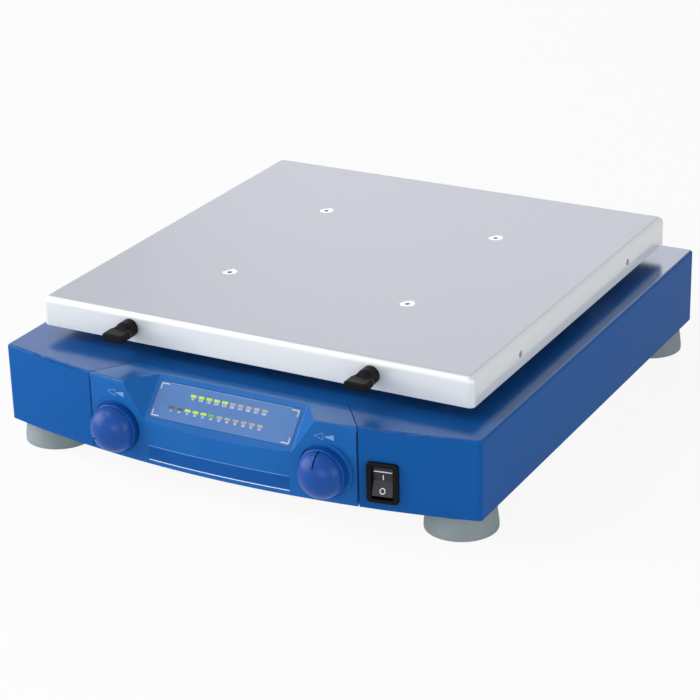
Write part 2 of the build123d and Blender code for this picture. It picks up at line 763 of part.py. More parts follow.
with BuildPart() as crank_pulley:
    columns(drive_axis, big_pulley_radius, pulley_z, web_z)
    for low, high in ((pulley_z, pulley_z + web_sink), (web_z - web_sink, web_z)):
        with BuildSketch(Plane.XY.offset(low)):
            with Locations(*drive_axis):
                Circle(big_pulley_radius - rim_wall)
                Circle(pulley_bore + rim_wall, mode=Mode.SUBTRACT)
        extrude(amount=high - low, mode=Mode.SUBTRACT)
    with BuildSketch(Plane.XY.offset(pulley_z)):
        with Locations(*drive_axis):
            with PolarLocations((big_pulley_radius + pulley_bore) / 2, web_holes):
                Circle(web_hole_radius)
    extrude(amount=pulley_width, mode=Mode.SUBTRACT)
    columns(drive_axis, pulley_bore, pulley_z, web_z, Mode.SUBTRACT)
    for step in range(belt_ribs + 1):
        groove_z = belt_z + step * belt_width / belt_ribs
        with BuildSketch(Plane.XY.offset(groove_z - groove_width / 2)):
            with Locations(*drive_axis):
                Circle(big_pulley_radius + 1)
                Circle(big_pulley_radius - groove_depth, mode=Mode.SUBTRACT)
        extrude(amount=groove_width, mode=Mode.SUBTRACT)
crank_pulley.part.label = "crank_pulley"
export_step(crank_pulley.part, "parts/crank_pulley.step")

# Counterweight: a half ring on the pulley, opposite the crank pin
with BuildPart() as counterweight:
    with BuildSketch(Plane.XY.offset(web_z)):
        with Locations(*drive_axis):
            Circle(big_pulley_radius - counterweight_inset)
            Circle(crank_head_radius + fit, mode=Mode.SUBTRACT)
            Rectangle(3 * big_pulley_radius, 2 * big_pulley_radius, align=(Align.CENTER, Align.MIN),
                      mode=Mode.SUBTRACT)
    extrude(amount=counterweight_height)
counterweight.part.label = "counterweight"
export_step(counterweight.part, "parts/counterweight.step")

# Idler cranks, each with a journal, a web and a pin as far off its axis as the driven one
for number, ((x, y), pin) in enumerate(zip(idler_points, idler_pins), 1):
    with BuildPart() as idler_crank:
        columns([(x, y)], idler_bearing["bore"], deck_z + slip, pulley_z)
        with BuildSketch(Plane.XY.offset(pulley_z)):
            with Locations((x, y + orbit_radius / 2)):
                SlotCenterToCenter(orbit_radius, 2 * idler_web_radius, rotation=90)
        extrude(amount=idler_web)
        columns([pin], idler_shoulder_radius, pulley_z + idler_web, bearing_top_z - idler_bearing["width"])
        columns([pin], idler_bearing["bore"], pulley_z + idler_web, pin_cap_z)
        columns([pin], idler_bearing["bore"] + pin_cap_rim, pin_cap_z, pin_cap_z + pin_cap)
    idler_crank.part.label = "idler_crank_" + str(number)
    export_step(idler_crank.part, "parts/idler_crank_" + str(number) + ".step")

# Flat motor on its bracket, the ribbed belt and the small pulley
with BuildPart() as motor_bracket:
    block(-motor_distance, drive_y, bracket_size[0], bracket_size[1], deck_z, deck_z + bracket_thickness)
    with BuildSketch(Plane.XY.offset(deck_z)):
        with Locations((-motor_distance, drive_y)):
            with GridLocations(bracket_size[0] - 2 * bracket_slot_inset,
                               bracket_size[1] - 2 * bracket_slot_inset, 2, 2):
                SlotOverall(*bracket_slot)
    extrude(amount=bracket_thickness, mode=Mode.SUBTRACT)
motor_bracket.part.label = "motor_bracket"
export_step(motor_bracket.part, "parts/motor_bracket.step")

motor_z = deck_z + bracket_thickness
with BuildPart() as motor:
    columns(motor_axis, motor_radius, motor_z, motor_z + motor_height)
    fillet(motor.faces().sort_by(Axis.Z)[-1].edges(), motor_round)
    columns(motor_axis, motor_boss_radius, motor_z + motor_height, motor_z + motor_height + motor_boss)
    columns(motor_axis, motor_shaft_radius + running_clearance, motor_z + motor_boss,
            motor_z + motor_height + motor_boss, Mode.SUBTRACT)
motor.part.label = "motor"
export_step(motor.part, "parts/motor.step")

with BuildPart() as motor_shaft:
    columns(motor_axis, motor_shaft_radius, motor_z + 2 * motor_boss, web_z + slip)
motor_shaft.part.label = "motor_shaft"
export_step(motor_shaft.part, "parts/motor_shaft.step")

with BuildPart() as motor_pulley:
    columns(motor_axis, small_pulley_radius, pulley_z, web_z)
    columns(motor_axis, small_pulley_radius + cheek_rise, pulley_z, pulley_z + pulley_cheek)
    columns(motor_axis, small_pulley_radius + cheek_rise, web_z - pulley_cheek, web_z)
    columns(motor_axis, motor_shaft_radius + fit, pulley_z, web_z, Mode.SUBTRACT)
motor_pulley.part.label = "motor_pulley"
export_step(motor_pulley.part, "parts/motor_pulley.step")


def belt_plan(grow):
    """The belt's path round both pulleys, moved outwards by grow."""
    lean = (big_pulley_radius - small_pulley_radius) / motor_distance
    reach = sqrt(1 - lean**2)
    big, small = big_pulley_radius + grow, small_pulley_radius + grow
    with BuildSketch() as plan:
        with BuildLine():
            Polyline((-lean * big, reach * big), (-motor_distance - lean * small, reach * small))
            ThreePointArc((-motor_distance - lean * small, reach * small), (-motor_distance - small, 0),
                          (-motor_distance - lean * small, -reach * small))
            Polyline((-motor_distance - lean * small, -reach * small), (-lean * big, -reach * big))
            ThreePointArc((-lean * big, -reach * big), (big, 0), (-lean * big, reach * big))
        make_face()
    return plan.sketch


with BuildPart() as belt:
    with BuildSketch(Plane.XY.offset(belt_z)):
        with Locations(*drive_axis):
            add(belt_plan(slip + belt_back))
            add(belt_plan(slip), mode=Mode.SUBTRACT)
    extrude(amount=belt_width)
belt.part.label = "drive_belt"
export_step(belt.part, "parts/drive_belt.step")

# Power supply board on four pillars, with its larger components
power_corners = [
    (
        power_board_x + i * (power_board[0] / 2 - pillar_inset),
        drive_y + j * (power_board[1] / 2 - pillar_inset),
    )
    for i in (-1, 1)
    for j in (-1, 1)
]
power_board_z = deck_z + pillar_height
parts_z = power_board_z + board_thickness
board_left = power_board_x - power_board[0] / 2
board_right = power_board_x + power_board[0] / 2
with BuildPart() as power_board_part:
    block(power_board_x, drive_y, power_board[0], power_board[1], power_board_z, parts_z)
power_board_part.part.label = "power_board"
export_step(power_board_part.part, "parts/power_board.step")

with BuildPart() as board_pillars:
    columns(power_corners, pillar_radius, deck_z, power_board_z)
board_pillars.part.label = "board_pillars"
export_step(board_pillars.part, "parts/board_pillars.step")

with BuildPart() as power_components:
    for inset, y, width, depth, height in board_blocks:
        block(board_right - inset - width / 2, drive_y + y, width, depth, parts_z, parts_z + height)
    columns([(board_left + capacitor_inset, drive_y + y) for y in capacitor_y], capacitor_radius,
            parts_z, parts_z + capacitor_height)
power_components.part.label = "power_components"
export_step(power_components.part, "parts/power_components.step")

# Tray carrier: a casting with a hub over every crank pin, joined by ribbed arms
with BuildPart() as carrier:
    with BuildSketch(Plane.XY.offset(carrier_top_z - carrier_web)):
        for x, y in idler_pins:
            SlotCenterPoint((x / 2, (y + pin_y) / 2), (x, y), carrier_arm)
    extrude(amount=carrier_web)
    with BuildSketch(Plane.XY.offset(hub_z + carrier_rib_lift)):
        for x, y in idler_pins:
            SlotCenterPoint((x / 2, (y + pin_y) / 2), (x, y), carrier_rib)
        with Locations((0, pin_y)):
            Rectangle(2 * idler_x + carrier_rib, 2 * idler_y + carrier_rib)
            Rectangle(2 * idler_x - carrier_rib, 2 * idler_y - carrier_rib, mode=Mode.SUBTRACT)
    extrude(amount=carrier_top_z - hub_z - carrier_rib_lift)
    columns(drive_pin, pin_bearing["outer"] + tube_wall, hub_z, carrier_top_z)
    columns(idler_pins, idler_bearing["outer"] + tube_wall, hub_z, carrier_top_z)
    columns(top_screw_points, screw_pad_radius, hub_z + carrier_rib_lift, carrier_top_z)
    for points, bearing in ((drive_pin, pin_bearing), (idler_pins, idler_bearing)):
        columns(points, bearing["outer"], hub_z, bearing_top_z, Mode.SUBTRACT)
        columns(points, bearing["outer"] - bearing_lip, hub_z, bearing_top_z + cap_room, Mode.SUBTRACT)
    columns(top_screw_points, tray_screw_radius + fit, hub_z, carrier_top_z, Mode.SUBTRACT)
carrier.part.label = "carrier"
export_step(carrier.part, "parts/carrier.step")

with BuildPart() as pin_bearings:
    bearings(drive_pin, pin_bearing, bearing_top_z - pin_bearing["width"])
    bearings(idler_pins, idler_bearing, bearing_top_z - idler_bearing["width"])
pin_bearings.part.label = "pin_bearings"
export_step(pin_bearings.part, "parts/pin_bearings.step")

# Tray: a square sheet with its four edges turned down
side_holes = [
    Location((side * tray_half, pin_y + y, side_hole_z), (0, side * 90, 0))
    for side in (-1, 1)
    for y in (-side_hole_spacing / 2, side_hole_spacing / 2)
]
front_holes = [
    Location((x, pin_y - tray_half, thumb_screw_z), (90, 0, 0))
    for x in (-side_hole_spacing / 2, side_hole_spacing / 2)
]
back_holes = [
    Location((x, pin_y + tray_half, side_hole_z), (-90, 0, 0))
    for x in (-side_hole_spacing / 2, side_hole_spacing / 2)
]
with BuildPart() as tray:
    block(0, pin_y, tray_size, tray_size, flange_z, tray_top_z)
    fillet(tray.edges().filter_by(Axis.Z), tray_corner)
    fillet(tray.faces().sort_by(Axis.Z)[-1].edges(), tray_bend)
    with BuildPart(mode=Mode.PRIVATE) as tray_inside:
        block(0, pin_y, tray_size - 2 * tray_sheet, tray_size - 2 * tray_sheet, flange_z, carrier_top_z)
        fillet(tray_inside.edges().filter_by(Axis.Z), tray_corner - tray_sheet)
        fillet(tray_inside.faces().sort_by(Axis.Z)[-1].edges(), tray_bend - tray_sheet)
    add(tray_inside.part, mode=Mode.SUBTRACT)
    columns(top_screw_points, tray_screw_radius + slip, carrier_top_z, tray_top_z, Mode.SUBTRACT)
    with Locations(*[(x, y, tray_top_z) for x, y in top_screw_points]):
        Cone(screw_head_radius - sink_depth, screw_head_radius, sink_depth,
             align=(Align.CENTER, Align.CENTER, Align.MAX), mode=Mode.SUBTRACT)
    with Locations(*(side_holes + front_holes + back_holes)):
        Cylinder(side_hole_radius, 4 * tray_sheet, mode=Mode.SUBTRACT)
tray.part.label = "tray"
export_step(tray.part, "parts/tray.step")

with BuildPart() as tray_screws:
    columns(top_screw_points, tray_screw_radius, tray_top_z - tray_screw_length, tray_top_z - screw_sink)
    with Locations(*[(x, y, tray_top_z - screw_sink) for x, y in top_screw_points]):
        Cone(screw_head_radius - sink_depth, screw_head_radius - screw_sink, sink_depth - screw_sink,
             align=(Align.CENTER, Align.CENTER, Align.MAX))
    with BuildSketch(Plane.XY.offset(tray_top_z - screw_sink)):
        with Locations(*top_screw_points):
            RegularPolygon(hex_radius, 6)
    extrude(amount=-hex_depth, mode=Mode.SUBTRACT)
tray_screws.part.label = "tray_screws"
export_step(tray_screws.part, "parts/tray_screws.step")

# Press nuts behind every hole in the tray's edges
with BuildPart() as press_nuts:
    with Locations(*(side_holes + front_holes + back_holes)):
        with Locations((0, 0, -tray_sheet)):
            Cylinder(press_nut_radius, press_nut_height, align=(Align.CENTER, Align.CENTER, Align.MAX))
            Cylinder(side_hole_radius, press_nut_height, align=(Align.CENTER, Align.CENTER, Align.MAX),
                     mode=Mode.SUBTRACT)
press_nuts.part.label = "press_nuts"
export_step(press_nuts.part, "parts/press_nuts.step")

# Clamping thumb screws in the front edge: a threaded shank, and a round hub flattening to a wing
hub_y = pin_y - tray_half - thumb_gap
for name, place in zip(("left", "right"), front_holes):
    x = place.position.X
    with BuildPart() as shank:
        rod(x, hub_y - shank_grip, thumb_screw_z, side_hole_radius - fit,
            shank_grip + thumb_gap + shank_reach)
    shank.part.label = name + "_thumb_shank"
    export_step(shank.part, "parts/" + name + "_thumb_shank.step")

    hub_end = Plane(origin=(x, hub_y - hub_length, thumb_screw_z), x_dir=(1, 0, 0), z_dir=(0, -1, 0))
    with BuildPart() as thumb_screw:
        with BuildSketch(hub_end):
            Circle(hub_radius)
        with BuildSketch(hub_end.offset(wing_blend)):
            RectangleRounded(wing_width, wing_thickness, wing_round)
        loft()
        with BuildSketch(hub_end.offset(wing_blend)):
            RectangleRounded(wing_width, wing_thickness, wing_round)
        extrude(amount=wing_length)
        fillet(thumb_screw.faces().sort_by(Axis.Y)[0].edges(), wing_round / 2)
        rod(x, hub_y - hub_length, thumb_screw_z, hub_radius, hub_length)
        rod(x, hub_y - shank_grip - fit, thumb_screw_z, side_hole_radius, shank_grip + 1, Mode.SUBTRACT)
    thumb_screw.part.label = name + "_thumb_screw"
    export_step(thumb_screw.part, "parts/" + name + "_thumb_screw.step")
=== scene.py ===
from math import cos, pi, radians, sin

import bmesh
import bpy
from mathutils import Matrix, Vector
from mathutils.bvhtree import BVHTree


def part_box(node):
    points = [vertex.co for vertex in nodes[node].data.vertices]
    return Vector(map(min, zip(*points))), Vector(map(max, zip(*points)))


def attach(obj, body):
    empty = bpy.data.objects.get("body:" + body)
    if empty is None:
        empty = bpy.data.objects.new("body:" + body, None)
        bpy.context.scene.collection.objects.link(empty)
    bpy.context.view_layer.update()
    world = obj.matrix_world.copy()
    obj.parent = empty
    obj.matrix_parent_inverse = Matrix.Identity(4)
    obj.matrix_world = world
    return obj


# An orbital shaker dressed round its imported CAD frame. Metres, +Z up, -Y to the front.
# The windows and the printed marks are drawn in millimetres, and MM brings them into the frame.
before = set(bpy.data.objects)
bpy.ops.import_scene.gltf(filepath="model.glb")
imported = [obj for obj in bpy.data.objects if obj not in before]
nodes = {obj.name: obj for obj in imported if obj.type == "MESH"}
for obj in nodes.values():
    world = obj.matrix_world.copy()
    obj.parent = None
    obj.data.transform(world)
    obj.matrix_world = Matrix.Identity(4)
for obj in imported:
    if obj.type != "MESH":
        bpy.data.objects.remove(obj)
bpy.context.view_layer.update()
MM = 0.001
NUMBER, COLOUR, VECTOR = "NodeSocketFloat", "NodeSocketColor", "NodeSocketVector"


def low(node):
    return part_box(node)[0]


def high(node):
    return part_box(node)[1]


def middle(node):
    return (low(node) + high(node)) / 2


def paint(red, green, blue):
    """A colour written as it looks on a screen, 0 to 255, as the linear colour a shader takes."""
    parts = [value / 255 for value in (red, green, blue)]
    linear = [p / 12.92 if p <= 0.04045 else ((p + 0.055) / 1.055) ** 2.4 for p in parts]
    return (*linear, 1.0)


# Camera: its place in metres, its turns in radians, its lens and sensor in millimetres

CAMERA_PLACE = (0.743681, -1.344911, 0.695739)
YAW, PITCH, ROLL = 0.5068, 0.40443, -0.02603
LENS, SENSOR = 116.94, 36
FARTHEST_SEEN = 60


def make_camera():
    """The camera at the photograph's viewing angle."""
    ahead = Vector((-sin(YAW) * cos(PITCH), cos(YAW) * cos(PITCH), -sin(PITCH)))
    level = Vector((cos(YAW), sin(YAW), 0))
    above = level.cross(ahead)
    right = cos(ROLL) * level + sin(ROLL) * above
    up = cos(ROLL) * above - sin(ROLL) * level
    turned = Matrix((right, up, -ahead)).transposed().to_4x4()
    lens = bpy.data.cameras.new("camera")
    lens.sensor_fit = "HORIZONTAL"
    lens.sensor_width = SENSOR
    lens.lens = LENS
    lens.clip_end = FARTHEST_SEEN
    camera = bpy.data.objects.new("camera", lens)
    bpy.context.scene.collection.objects.link(camera)
    camera.matrix_world = Matrix.Translation(CAMERA_PLACE) @ turned
    bpy.context.scene.camera = camera


make_camera()


# Node tree helpers

# The sockets of a Mix node that mixes colours, which go by number
FACTOR, MIX_A, MIX_B, MIXED = 0, 6, 7, 2


def add(tree, kind, inputs=None, **settings):
    """One node, with its settings, and with inputs given as values or as sockets."""
    node = tree.nodes.new(kind)
    for name, value in settings.items():
        setattr(node, name, value)
    for name, value in (inputs or {}).items():
        if isinstance(value, bpy.types.NodeSocket):
            tree.links.new(value, node.inputs[name])
        else:
            node.inputs[name].default_value = value
    return node


def make_mottle():
    """Slow patches and fine grain of one finish: colour, roughness and a height."""
    tree = bpy.data.node_groups.new("mottle", "ShaderNodeTree")
    sockets = (
        ("Colour", COLOUR, (0.5, 0.5, 0.5, 1)),
        ("Other Colour", COLOUR, (0.4, 0.4, 0.4, 1)),
        ("Roughness", NUMBER, 0.4),
        ("Other Roughness", NUMBER, 0.5),
        ("Patch Scale", NUMBER, 12.0),
        ("Grain Scale", NUMBER, 900.0),
        ("Stretch", VECTOR, (1, 1, 1)),
    )
    for label, kind, value in sockets:
        tree.interface.new_socket(label, in_out="INPUT", socket_type=kind).default_value = value
    for label, kind in (("Colour", COLOUR), ("Roughness", NUMBER), ("Height", NUMBER)):
        tree.interface.new_socket(label, in_out="OUTPUT", socket_type=kind)
    given = tree.nodes.new("NodeGroupInput").outputs
    out = tree.nodes.new("NodeGroupOutput").inputs
    place = add(tree, "ShaderNodeTexCoord").outputs["Object"]
    drawn = add(tree, "ShaderNodeVectorMath", {0: place, 1: given["Stretch"]}, operation="MULTIPLY")
    patch = add(tree, "ShaderNodeTexNoise",
                {"Vector": place, "Scale": given["Patch Scale"], "Detail": 5.0, "Roughness": 0.6})
    grain = add(tree, "ShaderNodeTexNoise",
                {"Vector": drawn.outputs[0], "Scale": given["Grain Scale"], "Detail": 3.0,
                 "Roughness": 0.55})
    both = add(tree, "ShaderNodeMath", {0: patch.outputs["Fac"], 1: grain.outputs["Fac"]},
               operation="MULTIPLY")
    spread = add(tree, "ShaderNodeMapRange",
                 {"Value": both.outputs[0], "From Min": 0.12, "From Max": 0.42})
    colour = add(tree, "ShaderNodeMix",
                 {FACTOR: spread.outputs[0], MIX_A: given["Colour"], MIX_B: given["Other Colour"]},
                 data_type="RGBA")
    rough = add(tree, "ShaderNodeMapRange",
                {"Value": spread.outputs[0], "To Min": given["Roughness"],
                 "To Max": given["Other Roughness"]})
    tree.links.new(colour.outputs[MIXED], out["Colour"])
    tree.links.new(rough.outputs[0], out["Roughness"])
    tree.links.new(grain.outputs["Fac"], out["Height"])
    return tree


mottle = make_mottle()


# Finishes

# How far a face looks up, as the Z of its normal, where a rounded body and a folded sheet start
# to count as roof, and where both count fully
ROUNDED, FOLDED, ROOF = 0.6, 0.88, 0.98
BRUSHED = (0.04, 1, 1)
finishes = {}


def finish(name, colour, other, rough, patch, grain, bump, stretch=(1, 1, 1), metallic=0.0,
           specular=0.5, coat=0.0, coat_roughness=0.1, roof_coat=0.0, painted_light_sides=None, glow=0.0):
    """One material from the mottle group, kept in finishes by its name.

    colour and other are its two tones, 0 to 255, and rough is the roughness of each. patch and
    grain are the scales of its patches and its grain, and bump is the grain's depth in
    millimetres. roof_coat is the coat of the faces that look up. For a finish that has a
    roof_coat, painted_light_sides is the colour of the faces that don't look up: painted light,
    which stands in for the light that falls on the sides.
    """
    material = bpy.data.materials.new(name)
    material.use_nodes = True
    tree = material.node_tree
    shader = tree.nodes["Principled BSDF"]
    looks = add(tree, "ShaderNodeGroup", node_tree=mottle)
    values = {"Colour": paint(*colour), "Other Colour": paint(*other), "Roughness": rough[0],
              "Other Roughness": rough[1], "Patch Scale": patch, "Grain Scale": grain,
              "Stretch": stretch}
    for label, value in values.items():
        looks.inputs[label].default_value = value
    relief = add(tree, "ShaderNodeBump",
                 {"Height": looks.outputs["Height"], "Strength": 0.3, "Distance": bump * MM})
    tree.links.new(looks.outputs["Colour"], shader.inputs["Base Color"])
    tree.links.new(looks.outputs["Roughness"], shader.inputs["Roughness"])
    tree.links.new(relief.outputs["Normal"], shader.inputs["Normal"])
    shader.inputs["Metallic"].default_value = metallic
    shader.inputs["Specular IOR Level"].default_value = specular
    shader.inputs["Coat Weight"].default_value = coat
    shader.inputs["Coat Roughness"].default_value = coat_roughness
    if roof_coat:
        normal = tree.nodes.new("ShaderNodeNewGeometry").outputs["Normal"]
        facing = add(tree, "ShaderNodeSeparateXYZ", {0: normal})
        upward = add(tree, "ShaderNodeMapRange",
                     {"Value": facing.outputs["Z"],
                      "From Min": ROUNDED if roof_coat > coat else FOLDED, "From Max": ROOF})
        lacquer = add(tree, "ShaderNodeMapRange",
                      {"Value": upward.outputs[0], "To Min": coat, "To Max": roof_coat})
        tree.links.new(lacquer.outputs[0], shader.inputs["Coat Weight"])
        # Painted light: the faces that don't look up get their own colour, which stands in for the
        # light that falls on the sides
        if painted_light_sides:
            side_light_tone = add(tree, "ShaderNodeMix",
                       {FACTOR: upward.outputs[0], MIX_A: paint(*painted_light_sides),
                        MIX_B: looks.outputs["Colour"]}, data_type="RGBA")
            tree.links.new(side_light_tone.outputs[MIXED], shader.inputs["Base Color"])
    if glow:
        tree.links.new(looks.outputs["Colour"], shader.inputs["Emission Color"])
        shader.inputs["Emission Strength"].default_value = glow
    finishes[name] = material


finish("blue_paint", (16, 82, 153), (20, 88, 160), (0.36, 0.44), 9, 700, 0.03,
       specular=0.03, coat=0.05, coat_roughness=0.2, roof_coat=1.0)
finish("blue_panel", (26, 94, 166), (30, 100, 172), (0.34, 0.42), 14, 1100, 0.01,
       specular=0.03, coat=0.1, coat_roughness=0.16, roof_coat=1.0)
finish("label_film", (74, 114, 172), (82, 122, 178), (0.34, 0.42), 30, 1600, 0.01, specular=0.2)
finish("clear_plastic", (128, 136, 132), (148, 156, 150), (0.12, 0.2), 60, 900, 0.02, coat=0.4)
finish("circuit_board", (20, 92, 56), (32, 112, 68), (0.3, 0.42), 60, 1400, 0.05)
finish("pot_case", (96, 98, 102), (116, 118, 122), (0.4, 0.5), 50, 1200, 0.05)
finish("steel", (176, 179, 184), (198, 200, 204), (0.22, 0.34), 40, 1500, 0.03,
       stretch=BRUSHED, metallic=1.0)
finish("blue_knob", (10, 68, 147), (14, 74, 154), (0.4, 0.46), 40, 1300, 0.004,
       specular=0.12, coat=0.25, coat_roughness=0.28)
finish("black_plastic", (8, 8, 9), (14, 14, 16), (0.42, 0.54), 50, 1700, 0.06, specular=0.1)
finish("rocker_black", (30, 31, 36), (40, 41, 46), (0.3, 0.4), 50, 1700, 0.03, specular=0.35)
finish("zinc_steel", (172, 174, 170), (198, 197, 188), (0.3, 0.46), 26, 1000, 0.06, metallic=1.0)
finish("grey_rubber", (128, 140, 144), (143, 153, 157), (0.55, 0.7), 30, 1400, 0.1, specular=0.3)
finish("cast_aluminium", (176, 178, 182), (204, 205, 208), (0.4, 0.55), 60, 1200, 0.25,
       metallic=1.0)
finish("motor_case", (44, 45, 48), (58, 59, 63), (0.36, 0.48), 40, 900, 0.08, coat=0.2)
finish("black_rubber", (26, 26, 27), (38, 38, 40), (0.6, 0.75), 40, 1500, 0.15)
finish("brass", (196, 158, 88), (214, 178, 108), (0.24, 0.36), 60, 1300, 0.04, metallic=1.0)
finish("component_black", (34, 34, 37), (48, 48, 52), (0.38, 0.5), 60, 1300, 0.08)
# The tray's sides are painted lighter than its top: painted light, not a real difference in the
# metal
finish("tray_aluminium", (184, 187, 197), (190, 193, 202), (0.44, 0.5), 7, 1300, 0.01,
       metallic=0.25, specular=0.25, coat=1.0, coat_roughness=0.09, roof_coat=0.05,
       painted_light_sides=(221, 225, 227))
finish("bright_steel", (178, 181, 186), (194, 197, 201), (0.28, 0.38), 60, 1500, 0.01,
       metallic=0.9)
# Painted shade, for the dark gaps at the panel's seams
finish("seam_shade", (6, 34, 84), (10, 42, 96), (0.5, 0.6), 60, 900, 0.01, specular=0.1)
finish("lit_green", (140, 190, 40), (176, 210, 60), (0.2, 0.3), 200, 900, 0.02, glow=0.22)
finish("deep_green", (60, 150, 52), (76, 170, 66), (0.2, 0.3), 200, 900, 0.02, glow=0.15)
finish("unlit", (142, 146, 138), (158, 160, 150), (0.2, 0.3), 200, 900, 0.02)
finish("dark_window", (58, 70, 64), (72, 84, 76), (0.2, 0.3), 200, 900, 0.02)
# These two inks are print, and they are also the colour of painted highlights on the rocker and the
# panel strip
finish("white_print_and_highlight", (226, 232, 238), (236, 240, 244), (0.4, 0.5), 90, 1500, 0.01)
finish("pale_print_and_highlight", (104, 150, 204), (120, 162, 212), (0.4, 0.5), 90, 1500, 0.01)
finish("band_ink", (22, 80, 152), (27, 86, 158), (0.3, 0.38), 60, 1500, 0.01, specular=0.05)

worn_by = {
    "blue_paint": ["housing"],
    "blue_panel": ["control_panel"],
    "label_film": ["display_label"],
    "clear_plastic": ["light_guides"],
    "circuit_board": ["display_board", "control_board", "power_board"],
    "pot_case": ["speed_potentiometer", "time_potentiometer"],
    "steel": ["inlet_blades", "base_screws", "foot_screws", "foot_nuts", "drive_bearings",
              "idler_bearings", "pin_bearings", "crankshaft", "idler_crank_1", "idler_crank_2",
              "idler_crank_3", "idler_crank_4", "motor_shaft", "speed_shaft", "time_shaft",
              "left_thumb_shank", "right_thumb_shank"],
    "bright_steel": ["tray_screws", "press_nuts"],
    "blue_knob": ["speed_knob", "time_knob"],
    "black_plastic": ["switch_body", "power_inlet", "left_thumb_screw", "right_thumb_screw"],
    "rocker_black": ["power_rocker"],
    "zinc_steel": ["base_plate", "counterweight", "motor_bracket"],
    "grey_rubber": ["foot_1", "foot_2", "foot_3", "foot_4"],
    "cast_aluminium": ["drive_pedestal", "idler_pedestals", "crank_pulley", "carrier",
                       "motor_pulley"],
    "motor_case": ["motor"],
    "black_rubber": ["drive_belt"],
    "brass": ["board_pillars"],
    "component_black": ["power_components"],
    "tray_aluminium": ["tray"],
}
for label, wearers in worn_by.items():
    for node in wearers:
        mesh = nodes[node].data
        mesh.materials.clear()
        mesh.materials.append(finishes[label])


# Making and placing new pieces

# A mark falls on to its surface from DROP away, and looks for it over a length of REACH
DROP, REACH = 12, 30
# How far a laid mark stands off its surface, and a window or a number off the label
MARK_LIFT, LABEL_LIFT = 0.03, 0.02
surfaces = {}


def surface(node):
    """The CAD node's faces, for laying thin marks on them."""
    if node not in surfaces:
        mesh = nodes[node].data
        surfaces[node] = BVHTree.FromPolygons([v.co for v in mesh.vertices],
                                              [tuple(p.vertices) for p in mesh.polygons])
    return surfaces[node]


def plane(origin, across, out):
    """A mark's own frame: its first axis across, its third axis out of the surface."""
    across, out = Vector(across).normalized(), Vector(out).normalized()
    turned = Matrix((across, out.cross(across), out)).transposed().to_4x4()
    return Matrix.Translation(origin) @ turned


def keep(name, mesh, body, material=None):
    """A finished mesh as a piece of the object. Without a material, it keeps its own."""
    piece = bpy.data.objects.new(name, mesh)
    bpy.context.scene.collection.objects.link(piece)
    if material:
        mesh.materials.clear()
        mesh.materials.append(finishes[material])
    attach(piece, body)


def lay(mesh, place, node):
    """Drops a flat mesh, drawn in millimetres, on to a CAD node, each point where it falls."""
    out = place.to_3x3() @ Vector((0, 0, 1))
    for vertex in mesh.vertices:
        above = place @ Vector((vertex.co.x * MM, vertex.co.y * MM, DROP * MM))
        hit = surface(node).ray_cast(above, -out, REACH * MM)[0]
        vertex.co = (hit or above - out * DROP * MM) + out * (vertex.co.z + MARK_LIFT) * MM
    mesh.update()


def strip(points, widths, ring=False, thick=0.06):
    """Points and faces of a thin closed strip along a flat line.

    widths is one width, or a list with a width for each point.
    """
    centres = [Vector(p) for p in points]
    count = len(centres)
    if not isinstance(widths, list):
        widths = [widths] * count
    corners = []
    for i, centre in enumerate(centres):
        before = centres[(i - 1) % count] if ring or i else centre
        after = centres[(i + 1) % count] if ring or i < count - 1 else centre
        along = (after - before).normalized()
        aside = Vector((-along.y, along.x)) * widths[i] / 2
        left, right = centre + aside, centre - aside
        corners += [(point.x, point.y, height)
                    for point, height in ((left, 0), (right, 0), (right, thick), (left, thick))]
    faces = []
    for i in range(count if ring else count - 1):
        a, b = 4 * i, 4 * ((i + 1) % count)
        faces += [(a + k, b + k, b + (k + 1) % 4, a + (k + 1) % 4) for k in range(4)]
    if not ring:
        end = 4 * (count - 1)
        faces += [(0, 1, 2, 3), (end + 3, end + 2, end + 1, end)]
    return corners, faces


def straight(start, end, pieces=24):
    """Points along a straight line."""
    start, end = Vector(start), Vector(end)
    return [start.lerp(end, i / pieces) for i in range(pieces + 1)]


def recalculate(mesh):
    """Turns every closed shell's faces outwards."""
    work = bmesh.new()
    work.from_mesh(mesh)
    bmesh.ops.recalc_face_normals(work, faces=work.faces)
    work.to_mesh(mesh)
    work.free()


def marks(name, strips, place, node, body, slot, material):
    """Thin lines, each a strip, laid on a CAD node as one piece: print, painted shade and painted
    highlights.
    """
    corners, faces = [], []
    for more_corners, more_faces in strips:
        start = len(corners)
        corners += more_corners
        faces += [tuple(start + k for k in face) for face in more_faces]
    mesh = bpy.data.meshes.new(name)
    mesh.from_pydata(corners, [], faces)
    lay(mesh, place, node)
    recalculate(mesh)
    keep(name, mesh, body, material)


# Display label: its two rows of windows, the numbers under them and the printed marks

LABEL_TILT = radians(46.7)
LABEL_HALF_THICKNESS = 0.25
LABEL_HALF_WIDTH, LABEL_HALF_HEIGHT = 54.8, 13.2
WINDOW_WIDTH, WINDOW_HEIGHT, WINDOW_THICKNESS, WINDOW_CORNER = 4.5, 1.9, 0.12, 0.3
CORNER_STEPS = 4
NUMBER_SIZE, NUMBER_DROP, NUMBER_HALF_THICKNESS = 2.4, 2.2, 0.02
CORNER_INSET, CORNER_LINE, CORNER_LAP = 1.6, 0.45, 0.22
CORNER_ACROSS, CORNER_UP = 5.5, 4.2
EDGE_INSET, EDGE_FROM_SIDE, EDGE_LINE = 0.5, 8, 0.25

label_out = Vector((0, -sin(LABEL_TILT), cos(LABEL_TILT)))
label_face = plane(middle("display_label") + label_out * LABEL_HALF_THICKNESS * MM, (1, 0, 0),
                   label_out)
on_label = (label_face, "display_label", "base", "label_film")


